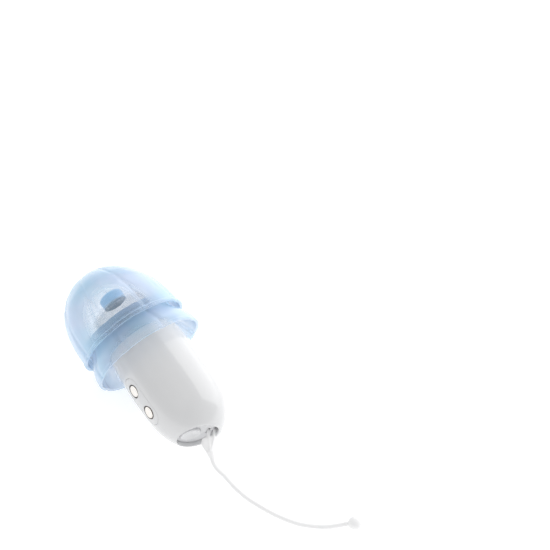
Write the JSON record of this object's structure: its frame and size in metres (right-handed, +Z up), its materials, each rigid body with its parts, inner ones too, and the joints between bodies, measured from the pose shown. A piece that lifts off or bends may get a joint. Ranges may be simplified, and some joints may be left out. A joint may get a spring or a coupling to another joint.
{
  "type": "nasal aspirator",
  "caption": "Palm-sized nasal aspirator lying on its side: glossy white egg-shaped casing, translucent pale blue two-tier hood, charging contacts, base button, soft tail ending in a ball.",
  "frame": {"origin": "centre of the object's box, tail left out, on the surface that it lies on", "axes": "+Z up from that surface, +X level from the hood towards the base and tail, +Y level to the side away from the charging contacts"},
  "size_m": [0.1773, 0.064, 0.0611],
  "materials": {
    "shell": "glossy white moulded plastic",
    "button": "satin white moulded plastic",
    "hood": "pale blue translucent soft plastic, glossy",
    "soft_tip": "blue silicone, satin",
    "clear_plastic": "clear plastic, polished",
    "tail": "milky translucent silicone, satin",
    "white_plastic": "satin white plastic",
    "contact": "bright plated metal",
    "gasket": "matt dark rubber",
    "circuit_board": "green laminate, satin",
    "battery_wrap": "shrink wrap, glossy",
    "copper_winding": "lacquered copper",
    "dark_plastic": "matt moulded plastic",
    "red_lead": "satin insulation",
    "black_lead": "satin insulation",
    "magnet": "dull dark magnet",
    "steel": "plain steel"
  },
  "bodies": {
    "aspirator": {"base_cap": "shell", "tact_switch": "dark_plastic", "snap_dome": "steel", "button_board": "circuit_board", "board_screw_left": "steel", "board_screw_right": "steel", "tail_root": "tail", "main_casing": "shell", "charge_pad": "shell", "charge_contact_lower": "contact", "charge_contact_upper": "contact", "contact_gasket_lower": "gasket", "contact_gasket_upper": "gasket", "charge_magnet": "magnet", "control_board": "circuit_board", "battery_cell": "battery_wrap", "motor_can": "steel", "motor_end_cap": "dark_plastic", "motor_magnet_left": "magnet", "motor_magnet_right": "magnet", "pump_bracket": "dark_plastic", "pump_diaphragm": "gasket", "pump_block": "dark_plastic", "valve_plate": "clear_plastic", "inlet_valve_flap": "gasket", "outlet_valve_flap": "gasket", "pump_cover": "dark_plastic", "suction_hose": "clear_plastic", "top_deck": "shell", "deck_seal": "gasket", "cup_seal": "gasket", "splash_guard": "white_plastic", "battery_lead_negative": "black_lead", "battery_lead_positive": "red_lead", "motor_lead_left": "red_lead", "motor_lead_right": "black_lead", "button_lead": "black_lead", "motor_screw_left": "steel", "motor_screw_right": "steel", "pump_screw_upper_left": "steel", "pump_screw_lower_left": "steel", "pump_screw_upper_right": "steel", "pump_screw_lower_right": "steel", "tail_cord": "tail", "tail_ball": "tail"},
    "collection_cup": {"collection_cup": "clear_plastic", "nose_tip": "soft_tip"},
    "hood": {"hood_dome": "hood", "hood_skirt": "hood"},
    "rotor": {"motor_shaft": "steel", "motor_armature": "copper_winding", "eccentric_cam": "steel"},
    "rod": {"connecting_rod": "dark_plastic", "crank_bearing": "steel"},
    "button": {"power_button": "button"},
    "plunger": {"switch_plunger": "dark_plastic"}
  },
  "joints": [
    {"name": "cup_pull", "type": "slide", "parent": "aspirator", "child": "collection_cup", "axis": [-0.9596, 0, 0.2812], "range_m": [0, 0.02]},
    {"name": "hood_pull", "type": "slide", "parent": "collection_cup", "child": "hood", "axis": [-0.9596, 0, 0.2812], "range_m": [0, 0.045]},
    {"name": "rotor_spin", "type": "hinge", "parent": "aspirator", "child": "rotor", "pos_m": [-0.00324, -0.00378, 0.02934], "axis": [-0.9596, 0, 0.2812], "continuous": true},
    {"name": "rod_turn", "type": "hinge", "parent": "rotor", "child": "rod", "pos_m": [-0.0033, -0.0026, 0.02915], "axis": [-0.9596, 0, 0.2812], "continuous": true, "deforming": ["pump_diaphragm"]},
    {"name": "button_press", "type": "slide", "parent": "aspirator", "child": "button", "axis": [-0.9228, 0.3209, 0.2133], "range_m": [0, 0.0005], "stiffness_N_per_m": 800, "springref_m": -0.0004},
    {"name": "plunger_press", "type": "slide", "parent": "aspirator", "child": "plunger", "axis": [-0.9228, 0.3209, 0.2133], "range_m": [-0.0001, 0.0006]}
  ],
  "couplings": [
    {"joint": "rod_turn", "follows": "rotor_spin", "ratio": -1},
    {"joint": "plunger_press", "follows": "button_press", "ratio": 1}
  ]
}
